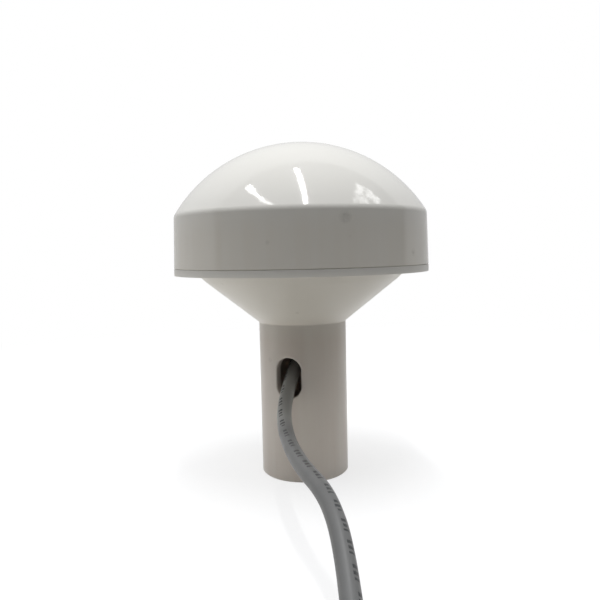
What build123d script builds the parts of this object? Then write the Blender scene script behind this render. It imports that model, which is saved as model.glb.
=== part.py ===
"""A satellite positioning receiver in a mushroom-shaped housing, on a hollow threaded stem.

A white dome and band screw down on a funnel-shaped base. The base's stem screws onto a 1"-14 mast
and has a side slot for the data cable, which lies on the table and ends in an 8-way round plug.
Millimetres, Z up. The origin is the middle of the stem's foot, and the slot faces -Y.
"""

import math
import os

from build123d import *

os.makedirs("parts", exist_ok=True)

# ---- Driving dimensions ----------------------------------------------------------------------

# Stem and its female mast thread, 1"-14 UNS, and the plain bore above the thread
stem_length = 58.4
stem_wall = 3.8
foot_chamfer = 0.5
thread_minor_radius = 11.72
thread_depth = 0.98
thread_pitch = 25.4 / 14
thread_length = 27.0
bore_relief = 0.2
mouth_chamfer = 1.2

# Side slot of the stem
slot_width = 9.5
slot_height = 15.1
slot_bottom = 31.3
slot_edge_radius = 0.4

# Funnel and rim of the base
funnel_wall = 3.0
funnel_height = 15.8
knee_to_rim = 2.8
knee_inset = 3.0
rim_radius = 48.0
rim_thickness = 2.4
rim_edge_radius = 1.0
stem_root_radius = 0.6
knee_radius = 30.0

# Bulkhead that closes the bore, and the trench around it, both above the stem's end
bulkhead_rise = 8.6
bulkhead_thickness = 3.0
bore_wall = 3.0
trench_rise = 5.6
rib_count = 6
rib_thickness = 1.6

# Dome and band, above the seam
cover_height = 46.2
dome_radius = 55.5
band_draft = 0.54
shoulder_radius = 3.0
dome_wall = 3.0
seam_chamfer = 0.3

# Seal under the band
seal_inset = 1.5
seal_width = 1.4
seal_height = 1.1

# Housing screws, from below the rim
housing_screw_count = 6
housing_screw_start = 30.0
housing_boss_height = 3.6
housing_boss_radius = 2.9
screw_radius = 1.1
screw_length = 10.0
screw_play = 0.2
head_radius = 2.0
head_height = 1.6
counterbore_play = 0.2
counterbore_depth = 3.4
counterbore_margin = 0.2
washer_thickness = 0.5
dome_boss_radius = 3.0
dome_boss_height = 12.0

# Main board and its posts
board_gap = 1.8
board_thickness = 1.6
board_rise = 4.6
post_count = 4
post_inset = 4.0
post_start = 45.0
post_radius = 3.0
gusset_thickness = 2.4
board_screw_length = 6.0

# Patch antenna
patch_side = 35.0
patch_height = 4.0
pad_height = 0.5
electrode_side = 30.0
electrode_thickness = 0.1
electrode_notch = 2.4
feed_offset = 3.5
feed_radius = 0.5
feed_head_radius = 1.2
feed_head_height = 0.4

# Parts under the board: middle, size in X and Y, and height
module_middle = (-4.0, -20.0)
module_size = (22.4, 17.0)
module_board_height = 0.8
module_can_margin = 0.7
module_can_height = 1.6
amplifier_middle = (-16.0, 8.0)
amplifier_size = (16.0, 12.0)
chip_places = [-5.0, -0.5, 4.5]
chip_sides = [3.0, 2.4, 3.8]
chip_heights = [1.2, 0.8, 1.4]
shield_sheet = 0.25
shield_frame_height = 2.4
shield_can_height = 2.9
backup_cell_middle = (6.0, 24.0)
backup_cell_radius = 6.25
backup_cell_height = 2.1
cell_tab_width = 3.0
cell_tab_thickness = 0.25
driver_middle = (22.5, -8.0)
driver_size = (7.5, 10.3)
driver_height = 2.3
driver_leads = 8
lead_thickness = 0.3
lead_reach = 0.75
inductor_middle = (22.5, 8.0)
inductor_size = 7.0
inductor_height = 3.2
capacitor_middles = [(-13.0, 21.0), (-6.5, 25.5)]
capacitor_radius = 3.15
capacitor_height = 5.4

# Data cable and its wires
cable_radius = 2.5
cable_offset = 2.5
jacket_reach = 5.0
jacket_wall = 0.35
wire_count = 6
wire_radius = 0.6
wire_rise = 1.5
wire_start = 15.0
grommet_wall = 1.7
grommet_lip = 1.8
grommet_flange = 1.0
tie_width = 2.5
tie_thickness = 1.0
tie_head = 4.5

# Board header and the wire plug in it
header_face = 8.0
header_length = 6.5
header_margin = 2.0
header_height = 4.8
header_wall = 0.8
contact_pitch = 2.0
contact_side = 0.5
contact_reach = 3.0
wire_plug_length = 7.6

# Coil of the spare cable
coil_middle = (28.0, -192.0)
coil_inner_turn = 24.0
coil_outer_turn = 49.0
coil_layers = 4
coil_edge_radius = 2.0
coil_tie_angles = [140.0, 260.0]
coil_tie_width = 8.0
coil_tie_thickness = 1.0

# 8-way round plug, measured along its axis from the cable's end
plug_grip_radius = 7.6
plug_tail_wall = 1.2
plug_tail_length = 12.0
plug_grip_length = 28.0
plug_edge_radius = 1.0
flute_count = 10
flute_radius = 1.6
plug_core_radius = 4.1
key_radius = 0.8
collar_place = 5.0
collar_length = 1.0
collar_lip = 0.65
socket_floor = 3.0
nut_length = 15.0
nut_wall = 1.15
nut_knurl_length = 7.5
nut_knurl_height = 1.2
nut_thread_pitch = 1.0
nut_thread_depth = 0.6
knurl_count = 24
knurl_radius = 0.6
pin_radius = 0.4
pin_inset = 1.35
pin_length = 6.0
pin_count = 7
plug_seal_width = 1.0

# Clearances
running_clearance = 0.05
seat_clearance = 0.05
soft_clearance = 0.3
end_clearance = 0.3

# Cable route from the grommet, through the slot, to the coil; and from the coil to the plug
cable_route = [
    (0.0, 2.5, 66.0),
    (0.0, 2.5, 57.5),
    (-0.1, -0.7, 48.8),
    (-0.6, -8.2, 40.9),
    (0.2, -18.2, 34.6),
    (2.8, -28.9, 29.1),
    (8.0, -40.3, 26.2),
    (15.5, -53.8, 24.9),
    (24.2, -67.2, 24.6),
    (32.8, -77.6, 24.0),
    (38.9, -86.4, 21.0),
    (43.2, -94.6, 16.7),
    (47.4, -104.4, 11.7),
    (51.6, -115.2, 7.4),
    (56.2, -127.6, 4.2),
    (61.4, -141.2, 2.8),
    (67.7, -158.0, 2.9),
    (74.0, -175.2, 3.5),
]
tail_route = [
    (36.5, -143.7, 18.5),
    (46.8, -146.0, 19.4),
    (56.2, -152.6, 22.8),
    (62.2, -161.6, 26.2),
    (64.4, -171.8, 28.2),
    (63.2, -181.8, 28.7),
    (60.0, -191.2, 28.7),
]

# ---- Derived dimensions ----------------------------------------------------------------------

thread_major_radius = thread_minor_radius + thread_depth
bore_radius = thread_major_radius + bore_relief
stem_radius = bore_radius + stem_wall
bulkhead_bottom = stem_length + bulkhead_rise
bulkhead_top = bulkhead_bottom + bulkhead_thickness
trench_floor = stem_length + trench_rise
bore_tube_radius = bore_radius + bore_wall
counterbore_radius = head_radius + counterbore_play
screw_ring_radius = rim_radius - dome_wall - end_clearance - housing_boss_radius
funnel_rim_radius = screw_ring_radius - counterbore_radius - counterbore_margin
funnel_knee_radius = funnel_rim_radius - knee_inset
funnel_knee_height = stem_length + funnel_height
rim_bottom = funnel_knee_height + knee_to_rim
seam_height = rim_bottom + rim_thickness
total_height = seam_height + cover_height
seal_radius = rim_radius - seal_inset
funnel_slope = (funnel_knee_radius - stem_radius) / (funnel_knee_height - stem_length)
funnel_rise = funnel_wall * math.hypot(1, funnel_slope) / funnel_slope
screw_seat = rim_bottom + counterbore_depth
housing_boss_top = seam_height + housing_boss_height
board_radius = screw_ring_radius - dome_boss_radius - board_gap
post_ring_radius = board_radius - post_inset
board_bottom = seam_height + board_rise
board_top = board_bottom + board_thickness
patch_bottom = board_top + pad_height
patch_top = patch_bottom + patch_height
electrode_top = patch_top + electrode_thickness
cable_middle = (0, cable_offset)
jacket_end = bulkhead_top + jacket_reach
wire_ring_radius = cable_radius - jacket_wall - wire_radius
grommet_neck_radius = cable_radius + grommet_wall
grommet_flange_radius = grommet_neck_radius + grommet_lip
header_middle_height = board_bottom - header_height / 2
wire_plug_rear = header_face + header_length - header_wall - wire_plug_length
header_width = (wire_count - 1) * contact_pitch + 2 * header_margin
first_row = cable_offset - (wire_count - 1) / 2 * contact_pitch
contact_rows = [first_row + row * contact_pitch for row in range(wire_count)]


def funnel_inside(height):
    """Inner radius of the funnel's wall at a height."""
    return stem_radius + funnel_slope * (height - funnel_rise - stem_length)


def funnel_outside_height(radius):
    """Height of the funnel's outer slope at a radius."""
    return stem_length + (radius - stem_radius) / funnel_slope


def radial_plane(angle):
    """The upright plane through Z at an angle: its X runs outwards and its Y upwards."""
    turn = math.radians(angle)
    return Plane(
        origin=(0, 0, 0),
        x_dir=(math.cos(turn), math.sin(turn), 0),
        z_dir=(math.sin(turn), -math.cos(turn), 0),
    )


def screw_places():
    """The ring of housing screws."""
    return PolarLocations(screw_ring_radius, housing_screw_count, start_angle=housing_screw_start)


def post_places():
    """The ring of board posts and their screws."""
    return PolarLocations(post_ring_radius, post_count, start_angle=post_start)


def turned(*points):
    """A solid turned round Z from a closed outline of (radius, height) points."""
    with BuildPart() as body:
        with BuildSketch(Plane.XZ):
            with BuildLine():
                Polyline(*points, close=True)
            make_face()
        revolve(axis=Axis.Z)
    return body.part


def block(middle, size, bottom, height):
    """An upright block about a middle point, from a bottom level."""
    with BuildPart() as body:
        with BuildSketch(Plane.XY.offset(bottom)):
            with Locations(middle):
                Rectangle(*size)
        extrude(amount=height)
    return body.part


def disc(middle, radius, bottom, height):
    """An upright round bar about a middle point, from a bottom level."""
    with BuildPart() as body:
        with BuildSketch(Plane.XY.offset(bottom)):
            with Locations(middle):
                Circle(radius)
        extrude(amount=height)
    return body.part


def corner_radii(route):
    """The largest smooth arc that each corner of a route leaves room for."""
    points = [Vector(*point) for point in route]
    runs = [after - before for before, after in zip(points, points[1:])]
    return [
        0.45 * min(first.length, second.length) / math.tan(math.radians(first.get_angle(second) / 2))
        for first, second in zip(runs, runs[1:])
    ]


def tube(route, radius):
    """A round tube along straight runs joined by tangent arcs."""
    with BuildPart() as body:
        with BuildLine() as centre:
            FilletPolyline(*route, radius=corner_radii(route))
        with BuildSketch(Plane(origin=route[0], z_dir=Vector(*route[1]) - Vector(*route[0]))):
            Circle(radius)
        sweep()
    length = centre.wire().length
    print(f"tube: length {length:.1f}, volume over section {body.part.volume / (math.pi * radius ** 2):.1f},"
          f" smallest radius {min(corner_radii(route)):.1f}")
    return body.part


def pan_screw(length):
    """A small cross-head screw: its head hangs below Z = 0 and its shank points up."""
    with BuildPart() as body:
        with BuildSketch():
            Circle(head_radius)
        extrude(amount=-head_height)
        fillet(body.edges().sort_by(Axis.Z)[0], head_height / 2)
        with BuildSketch(Plane.XY.offset(-head_height)):
            Rectangle(head_radius, head_radius / 4)
            Rectangle(head_radius / 4, head_radius)
        extrude(amount=head_height / 2, mode=Mode.SUBTRACT)
        with BuildSketch():
            Circle(screw_radius)
        extrude(amount=length)
        chamfer(body.edges().sort_by(Axis.Z)[-1], screw_radius / 2)
    return body.part


# ---- Base housing: stem, funnel, bulkhead, rim, posts and screw bosses -------------------------

chamber = turned(
    (0, bulkhead_top),
    (bore_tube_radius, bulkhead_top),
    (bore_tube_radius, trench_floor),
    (funnel_inside(trench_floor), trench_floor),
    (funnel_inside(seam_height), seam_height),
    (0, seam_height),
)

# The thread is drawn as a stack of 60 degree grooves at its pitch, the first three quarters of a pitch in.
groove_half_width = thread_depth * math.tan(math.radians(30))
first_groove = 3 / 4 * thread_pitch
groove_count = int((thread_length - 2 * mouth_chamfer) / thread_pitch)
bore_outline = [(0, 0), (thread_minor_radius + mouth_chamfer, 0), (thread_minor_radius, mouth_chamfer)]
for groove in range(groove_count):
    groove_height = mouth_chamfer + first_groove + groove * thread_pitch
    bore_outline += [
        (thread_minor_radius, groove_height - groove_half_width),
        (thread_major_radius, groove_height),
        (thread_minor_radius, groove_height + groove_half_width),
    ]
bore_outline += [
    (thread_minor_radius, thread_length),
    (bore_radius, thread_length + bore_radius - thread_minor_radius),
    (bore_radius, bulkhead_bottom),
    (0, bulkhead_bottom),
]
bore = turned(*bore_outline)

seal_groove = turned(
    (seal_radius - seal_width / 2 - seat_clearance, seam_height - seal_height),
    (seal_radius + seal_width / 2 + seat_clearance, seam_height - seal_height),
    (seal_radius + seal_width / 2 + seat_clearance, seam_height),
    (seal_radius - seal_width / 2 - seat_clearance, seam_height),
)

with BuildPart() as base_housing:
    with BuildSketch(Plane.XZ) as housing_outline:
        with BuildLine():
            Polyline(
                (0, 0),
                (stem_radius, 0),
                (stem_radius, stem_length),
                (funnel_knee_radius, funnel_knee_height),
                (funnel_rim_radius, rim_bottom),
                (rim_radius, rim_bottom),
                (rim_radius, seam_height),
                (0, seam_height),
                close=True,
            )
        make_face()
        corners = housing_outline.vertices()
        chamfer(corners.sort_by_distance((stem_radius, 0))[0], foot_chamfer)
        fillet(corners.sort_by_distance((stem_radius, stem_length))[0], stem_root_radius)
        fillet(corners.sort_by_distance((funnel_knee_radius, funnel_knee_height))[0], knee_radius)
        fillet(corners.sort_by_distance((rim_radius, rim_bottom))[0], rim_edge_radius)
    revolve(axis=Axis.Z)
    add(chamber, mode=Mode.SUBTRACT)

    # Ribs across the trench
    for rib in range(rib_count):
        with BuildSketch(radial_plane(rib * 360 / rib_count)):
            with BuildLine():
                Polyline(
                    (bore_tube_radius - bore_wall / 2, trench_floor - bore_wall / 2),
                    (funnel_inside(trench_floor), trench_floor - bore_wall / 2),
                    (funnel_inside(bulkhead_top) + funnel_wall / 3, bulkhead_top),
                    (bore_tube_radius - bore_wall / 2, bulkhead_top),
                    close=True,
                )
            make_face()
        extrude(amount=rib_thickness / 2, both=True)

    # Board posts, each on a gusset that grows out of the funnel's wall
    gusset_inside = post_ring_radius - post_radius
    gusset_outside = post_ring_radius + post_radius / 2
    for post in range(post_count):
        with BuildSketch(radial_plane(post_start + post * 360 / post_count)):
            with BuildLine():
                Polyline(
                    (gusset_inside, funnel_outside_height(gusset_inside) + funnel_rise / 2),
                    (gusset_outside, funnel_outside_height(gusset_outside) + funnel_rise / 2),
                    (gusset_outside, board_bottom - board_thickness),
                    (gusset_inside, board_bottom - board_thickness),
                    close=True,
                )
            make_face()
        extrude(amount=gusset_thickness / 2, both=True)
    post_bottom = funnel_outside_height(post_ring_radius + post_radius) + funnel_rise / 3
    with BuildSketch(Plane.XY.offset(post_bottom)):
        with post_places():
            Circle(post_radius)
    extrude(amount=board_bottom - post_bottom)
    with BuildSketch(Plane.XY.offset(board_bottom)):
        with post_places():
            Circle(screw_radius + seat_clearance)
    extrude(amount=-board_screw_length, mode=Mode.SUBTRACT)

    # Screw bosses on the rim, with counterbores from below
    with BuildSketch(Plane.XY.offset(rim_bottom + rim_thickness / 2)):
        with screw_places():
            Circle(housing_boss_radius)
    extrude(amount=housing_boss_top - rim_bottom - rim_thickness / 2)
    with BuildSketch(Plane.XY.offset(rim_bottom)):
        with screw_places():
            Circle(counterbore_radius)
    extrude(amount=counterbore_depth, mode=Mode.SUBTRACT)
    with BuildSketch(Plane.XY.offset(rim_bottom)):
        with screw_places():
            Circle(screw_radius + screw_play)
    extrude(amount=housing_boss_top - rim_bottom, mode=Mode.SUBTRACT)
    add(seal_groove, mode=Mode.SUBTRACT)

    # Bore, grommet hole and side slot
    add(bore, mode=Mode.SUBTRACT)
    with BuildSketch(Plane.XY.offset(bulkhead_bottom)):
        with Locations(cable_middle):
            Circle(grommet_neck_radius)
    extrude(amount=bulkhead_thickness, mode=Mode.SUBTRACT)
    with BuildSketch(Plane.XZ):
        with Locations((0, slot_bottom + slot_height / 2)):
            SlotOverall(slot_height, slot_width, rotation=90)
    extrude(amount=stem_radius + bore_wall, mode=Mode.SUBTRACT)
    slot_edges = base_housing.edges().filter_by(
        lambda edge: all(
            abs(math.hypot(corner.X, corner.Y) - stem_radius) < seat_clearance
            and slot_bottom - slot_width < corner.Z < slot_bottom + slot_height + slot_width
            for corner in edge.vertices()
        )
    )
    fillet(slot_edges, slot_edge_radius)
base_housing.part.label = "base_housing"
export_step(base_housing.part, "parts/base_housing.step")

# ---- Radome: dome, band and screw bosses ------------------------------------------------------


def dome_solid(foot_radius, top_radius, sphere_radius, edge_radius):
    """A solid band on the seam under a spherical crown, about the dome's own centre."""
    crown_middle = total_height - dome_radius
    shoulder = crown_middle + math.sqrt(sphere_radius ** 2 - top_radius ** 2)
    half_angle = math.asin(top_radius / sphere_radius) / 2
    halfway = (sphere_radius * math.sin(half_angle), crown_middle + sphere_radius * math.cos(half_angle))
    with BuildPart() as body:
        with BuildSketch(Plane.XZ) as outline:
            with BuildLine():
                Polyline(
                    (0, crown_middle + sphere_radius),
                    (0, seam_height),
                    (foot_radius, seam_height),
                    (top_radius, shoulder),
                )
                ThreePointArc((top_radius, shoulder), halfway, (0, crown_middle + sphere_radius))
            make_face()
            fillet(outline.vertices().sort_by_distance((top_radius, shoulder))[0], edge_radius)
        revolve(axis=Axis.Z)
    return body.part


dome_outside = dome_solid(rim_radius, rim_radius - band_draft, dome_radius, shoulder_radius)
dome_inside = dome_solid(
    rim_radius - dome_wall,
    rim_radius - band_draft - dome_wall,
    dome_radius - dome_wall,
    shoulder_radius / 2,
)

# Each boss is joined to the band's wall by a web that ends in the middle of the wall.
boss_web_end = rim_radius - dome_wall / 2
boss_web_middle = (screw_ring_radius + boss_web_end) / 2
boss_web_length = boss_web_end - screw_ring_radius

with BuildPart() as radome:
    add(dome_outside)
    foot_edge = radome.edges().filter_by(GeomType.CIRCLE).group_by(Axis.Z)[0].sort_by(SortBy.RADIUS)[-1]
    chamfer(foot_edge, seam_chamfer)
    add(dome_inside, mode=Mode.SUBTRACT)
    with BuildSketch(Plane.XY.offset(housing_boss_top)):
        with screw_places():
            Circle(dome_boss_radius)
        with PolarLocations(boss_web_middle, housing_screw_count, start_angle=housing_screw_start):
            Rectangle(boss_web_length, dome_boss_radius)
    extrude(amount=dome_boss_height)
    with BuildSketch(Plane.XY.offset(housing_boss_top)):
        with screw_places():
            Circle(screw_radius + seat_clearance / 2)
    extrude(amount=screw_length - (housing_boss_top - screw_seat) + end_clearance, mode=Mode.SUBTRACT)
radome.part.label = "radome"
export_step(radome.part, "parts/radome.step")

# ---- Seal, housing screws and their washers ----------------------------------------------------

with BuildPart() as rim_seal:
    add(turned(
        (seal_radius - seal_width / 2, seam_height - seal_height),
        (seal_radius + seal_width / 2, seam_height - seal_height),
        (seal_radius + seal_width / 2, seam_height),
        (seal_radius - seal_width / 2, seam_height),
    ))
    fillet(rim_seal.edges(), seal_height / 5)
rim_seal.part.label = "rim_seal"
export_step(rim_seal.part, "parts/rim_seal.step")

housing_screw = pan_screw(screw_length)
with BuildPart(Plane.XY.offset(screw_seat - washer_thickness)) as housing_screws:
    with screw_places():
        add(housing_screw)
housing_screws.part.label = "housing_screws"
export_step(housing_screws.part, "parts/housing_screws.step")

with BuildPart() as screw_washers:
    with BuildSketch(Plane.XY.offset(screw_seat - washer_thickness)):
        with screw_places():
            Circle(counterbore_radius - seat_clearance)
            Circle(screw_radius + seat_clearance, mode=Mode.SUBTRACT)
    extrude(amount=washer_thickness)
screw_washers.part.label = "screw_washers"
export_step(screw_washers.part, "parts/screw_washers.step")

# ---- Main board and its screws -----------------------------------------------------------------

with BuildPart() as main_board:
    with BuildSketch(Plane.XY.offset(board_bottom)):
        Circle(board_radius)
        with post_places():
            Circle(screw_radius + seat_clearance, mode=Mode.SUBTRACT)
        with Locations((feed_offset, 0)):
            Circle(feed_radius + seat_clearance, mode=Mode.SUBTRACT)
    extrude(amount=board_thickness)
main_board.part.label = "main_board"
export_step(main_board.part, "parts/main_board.step")

board_screw = pan_screw(board_screw_length)
with BuildPart(Plane.XY.offset(board_top)) as board_screws:
    with post_places():
        add(board_screw, rotation=(180, 0, 0))
board_screws.part.label = "board_screws"
export_step(board_screws.part, "parts/board_screws.step")

# ---- Patch antenna: pad, ceramic, electrode and feed pin ---------------------------------------

feed_hole = disc((feed_offset, 0), feed_radius + seat_clearance, board_bottom, total_height - board_bottom)

with BuildPart() as patch_pad:
    add(block((0, 0), (patch_side, patch_side), board_top, pad_height))
    add(feed_hole, mode=Mode.SUBTRACT)
patch_pad.part.label = "patch_pad"
export_step(patch_pad.part, "parts/patch_pad.step")

with BuildPart() as ceramic_patch:
    add(block((0, 0), (patch_side, patch_side), patch_bottom, patch_height))
    chamfer(ceramic_patch.edges().filter_by(Axis.Z), patch_height / 8)
    add(feed_hole, mode=Mode.SUBTRACT)
ceramic_patch.part.label = "ceramic_patch"
export_step(ceramic_patch.part, "parts/ceramic_patch.step")

with BuildPart() as patch_electrode:
    with BuildSketch(Plane.XY.offset(patch_top)) as electrode_outline:
        Rectangle(electrode_side, electrode_side)
        trimmed = electrode_outline.vertices().sort_by(lambda vertex: vertex.X * vertex.Y)[:2]
        chamfer(trimmed, electrode_notch)
    extrude(amount=electrode_thickness)
    add(feed_hole, mode=Mode.SUBTRACT)
patch_electrode.part.label = "patch_electrode"
export_step(patch_electrode.part, "parts/patch_electrode.step")

feed_bottom = board_bottom - feed_head_height
with BuildPart() as feed_pin:
    add(disc((feed_offset, 0), feed_radius, feed_bottom, electrode_top - feed_bottom))
    add(disc((feed_offset, 0), feed_head_radius, electrode_top, feed_head_height))
    fillet(feed_pin.edges().sort_by(Axis.Z)[-1], feed_head_height / 2)
feed_pin.part.label = "feed_pin"
export_step(feed_pin.part, "parts/feed_pin.step")

# ---- Parts under the board ---------------------------------------------------------------------

with BuildPart() as module_board:
    add(block(module_middle, module_size, board_bottom - module_board_height, module_board_height))
module_board.part.label = "module_board"
export_step(module_board.part, "parts/module_board.step")

module_can_size = [side - 2 * module_can_margin for side in module_size]
module_can_bottom = board_bottom - module_board_height - module_can_height
with BuildPart() as module_can:
    add(block(module_middle, module_can_size, module_can_bottom, module_can_height))
    fillet(module_can.edges().filter_by(Axis.Z), 2 * shield_sheet)
    chamfer(module_can.faces().sort_by(Axis.Z)[0].edges(), shield_sheet)
module_can.part.label = "module_can"
export_step(module_can.part, "parts/module_can.step")

with BuildPart() as shield_frame:
    add(block(amplifier_middle, amplifier_size, board_bottom - shield_frame_height, shield_frame_height))
    opening_size = [side - 2 * shield_sheet for side in amplifier_size]
    add(
        block(amplifier_middle, opening_size, board_bottom - shield_frame_height, shield_frame_height),
        mode=Mode.SUBTRACT,
    )
shield_frame.part.label = "shield_frame"
export_step(shield_frame.part, "parts/shield_frame.step")

can_inside = [side + 2 * seat_clearance for side in amplifier_size]
can_outside = [side + 2 * shield_sheet for side in can_inside]
can_bottom = board_bottom - shield_can_height
with BuildPart() as shield_can:
    add(block(amplifier_middle, can_outside, can_bottom, shield_can_height - end_clearance))
    fillet(shield_can.edges().filter_by(Axis.Z), shield_sheet)
    add(
        block(amplifier_middle, can_inside, board_bottom - shield_frame_height, shield_frame_height),
        mode=Mode.SUBTRACT,
    )
shield_can.part.label = "shield_can"
export_step(shield_can.part, "parts/shield_can.step")

with BuildPart() as amplifier_chips:
    for place, side, height in zip(chip_places, chip_sides, chip_heights):
        chip_middle = (amplifier_middle[0] + place, amplifier_middle[1])
        add(block(chip_middle, (side, side), board_bottom - height, height))
amplifier_chips.part.label = "amplifier_chips"
export_step(amplifier_chips.part, "parts/amplifier_chips.step")

with BuildPart() as backup_cell:
    add(disc(backup_cell_middle, backup_cell_radius, board_bottom - backup_cell_height, backup_cell_height))
    fillet(backup_cell.edges(), backup_cell_height / 6)
backup_cell.part.label = "backup_cell"
export_step(backup_cell.part, "parts/backup_cell.step")

# A strap under the cell: it runs across the face and down to the board on both sides.
strap_length = 2 * (backup_cell_radius + seat_clearance + cell_tab_thickness)
with BuildPart() as cell_strap:
    add(block(
        backup_cell_middle,
        (strap_length, cell_tab_width),
        board_bottom - backup_cell_height - cell_tab_thickness,
        backup_cell_height + cell_tab_thickness,
    ))
    add(
        block(
            backup_cell_middle,
            (strap_length - 2 * cell_tab_thickness, cell_tab_width),
            board_bottom - backup_cell_height,
            backup_cell_height,
        ),
        mode=Mode.SUBTRACT,
    )
cell_strap.part.label = "cell_strap"
export_step(cell_strap.part, "parts/cell_strap.step")

with BuildPart() as line_driver:
    add(block(driver_middle, driver_size, board_bottom - driver_height, driver_height - lead_thickness))
    chamfer(line_driver.faces().sort_by(Axis.Z)[0].edges(), lead_thickness)
    with BuildSketch(Plane.XY.offset(board_bottom - lead_thickness)):
        with Locations(driver_middle):
            with GridLocations(0, driver_size[1] / driver_leads, 1, driver_leads):
                Rectangle(driver_size[0] + 2 * lead_reach, lead_thickness)
    extrude(amount=lead_thickness)
line_driver.part.label = "line_driver"
export_step(line_driver.part, "parts/line_driver.step")

inductor_sides = (inductor_size, inductor_size)
with BuildPart() as power_inductor:
    add(block(inductor_middle, inductor_sides, board_bottom - inductor_height, inductor_height))
    chamfer(power_inductor.edges().filter_by(Axis.Z), inductor_size / 6)
    fillet(power_inductor.faces().sort_by(Axis.Z)[0].edges(), inductor_height / 10)
power_inductor.part.label = "power_inductor"
export_step(power_inductor.part, "parts/power_inductor.step")

with BuildPart() as capacitors:
    for middle in capacitor_middles:
        add(disc(middle, capacitor_radius, board_bottom - capacitor_height, capacitor_height))
    fillet(capacitors.faces().group_by(Axis.Z)[0].edges(), capacitor_radius / 8)
capacitors.part.label = "capacitors"
export_step(capacitors.part, "parts/capacitors.step")

# ---- Header, wire plug, contacts and wires -------------------------------------------------------

header_middle = (header_face + header_length / 2, cable_offset)
cavity_length = header_length - header_wall
cavity_middle = (header_face + cavity_length / 2, cable_offset)
cavity_width = header_width - 2 * header_wall
cavity_bottom = board_bottom - header_height + header_wall
cavity_height = header_height - 2 * header_wall
contact_start = header_face + cavity_length - contact_reach

with BuildPart() as contacts:
    for row in contact_rows:
        add(block(
            (contact_start + (header_length + header_face - contact_start) / 2, row),
            (header_length + header_face - contact_start, contact_side),
            header_middle_height - contact_side / 2,
            contact_side,
        ))
contacts.part.label = "contacts"
export_step(contacts.part, "parts/contacts.step")

with BuildPart() as board_header:
    add(block(header_middle, (header_length, header_width), board_bottom - header_height, header_height))
    add(block(cavity_middle, (cavity_length, cavity_width), cavity_bottom, cavity_height), mode=Mode.SUBTRACT)
    add(contacts.part, mode=Mode.SUBTRACT)
board_header.part.label = "board_header"
export_step(board_header.part, "parts/board_header.step")

with BuildPart() as wire_plug:
    add(block(
        (wire_plug_rear + wire_plug_length / 2, cable_offset),
        (wire_plug_length, cavity_width - 4 * seat_clearance),
        cavity_bottom + 2 * seat_clearance,
        cavity_height - 4 * seat_clearance,
    ))
    for row in contact_rows:
        add(
            block(
                (contact_start + contact_reach / 2 - end_clearance, row),
                (contact_reach + 2 * end_clearance, contact_side + 4 * seat_clearance),
                header_middle_height - contact_side / 2 - 2 * seat_clearance,
                contact_side + 4 * seat_clearance,
            ),
            mode=Mode.SUBTRACT,
        )
wire_plug.part.label = "wire_plug"
export_step(wire_plug.part, "parts/wire_plug.step")

# The wires stand in a ring in the cable, turned so that each has its own Y, and fan out in that order.
wire_starts = sorted(
    (
        (
            wire_ring_radius * math.cos(math.radians(wire_start + 360 * wire / wire_count)),
            cable_offset + wire_ring_radius * math.sin(math.radians(wire_start + 360 * wire / wire_count)),
        )
        for wire in range(wire_count)
    ),
    key=lambda place: place[1],
)
with BuildPart() as signal_wires:
    for (start_x, start_y), row in zip(wire_starts, contact_rows):
        wire_route = [
            (start_x, start_y, jacket_end),
            (start_x, start_y, jacket_end + wire_rise),
            (start_x, row, header_middle_height),
            (wire_plug_rear, row, header_middle_height),
        ]
        add(tube(wire_route, wire_radius))
signal_wires.part.label = "signal_wires"
export_step(signal_wires.part, "parts/signal_wires.step")

# ---- Grommet, cable end and tie in the housing ---------------------------------------------------

grommet_bottom = bulkhead_bottom - grommet_flange
grommet_length = bulkhead_thickness + 2 * grommet_flange
with BuildPart() as cable_grommet:
    add(disc(cable_middle, grommet_flange_radius, grommet_bottom, grommet_flange))
    add(disc(cable_middle, grommet_neck_radius - seat_clearance, grommet_bottom, grommet_length))
    add(disc(cable_middle, grommet_flange_radius, bulkhead_top, grommet_flange))
    outer_edges = cable_grommet.edges().filter_by(GeomType.CIRCLE).group_by(Axis.Z)
    fillet([outer_edges[0][0], outer_edges[-1][0]], grommet_flange / 3)
    grommet_hole = disc(cable_middle, cable_radius + seat_clearance, grommet_bottom, grommet_length)
    add(grommet_hole, mode=Mode.SUBTRACT)
cable_grommet.part.label = "cable_grommet"
export_step(cable_grommet.part, "parts/cable_grommet.step")

with BuildPart() as cable_end:
    add(disc(cable_middle, cable_radius, grommet_bottom, jacket_end - grommet_bottom))
cable_end.part.label = "cable_end"
export_step(cable_end.part, "parts/cable_end.step")

tie_bottom = bulkhead_top + grommet_flange + end_clearance
tie_hole = disc(cable_middle, cable_radius + seat_clearance, tie_bottom, tie_width)
tie_head_middle = (0, cable_offset + cable_radius + tie_head / 2)
with BuildPart() as inner_tie:
    add(disc(cable_middle, cable_radius + tie_thickness, tie_bottom, tie_width))
    add(block(tie_head_middle, (tie_head, tie_head), tie_bottom, tie_width))
    add(tie_hole, mode=Mode.SUBTRACT)
inner_tie.part.label = "inner_tie"
export_step(inner_tie.part, "parts/inner_tie.step")

# ---- Free cable, its coil, the tail to the plug and the ties -------------------------------------

with BuildPart() as cable_tube:
    add(tube(cable_route, cable_radius))
cable_tube.part.label = "cable_tube"
export_step(cable_tube.part, "parts/cable_tube.step")

with BuildPart() as cable_tail:
    add(tube(tail_route, cable_radius))
cable_tail.part.label = "cable_tail"
export_step(cable_tail.part, "parts/cable_tail.step")

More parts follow.
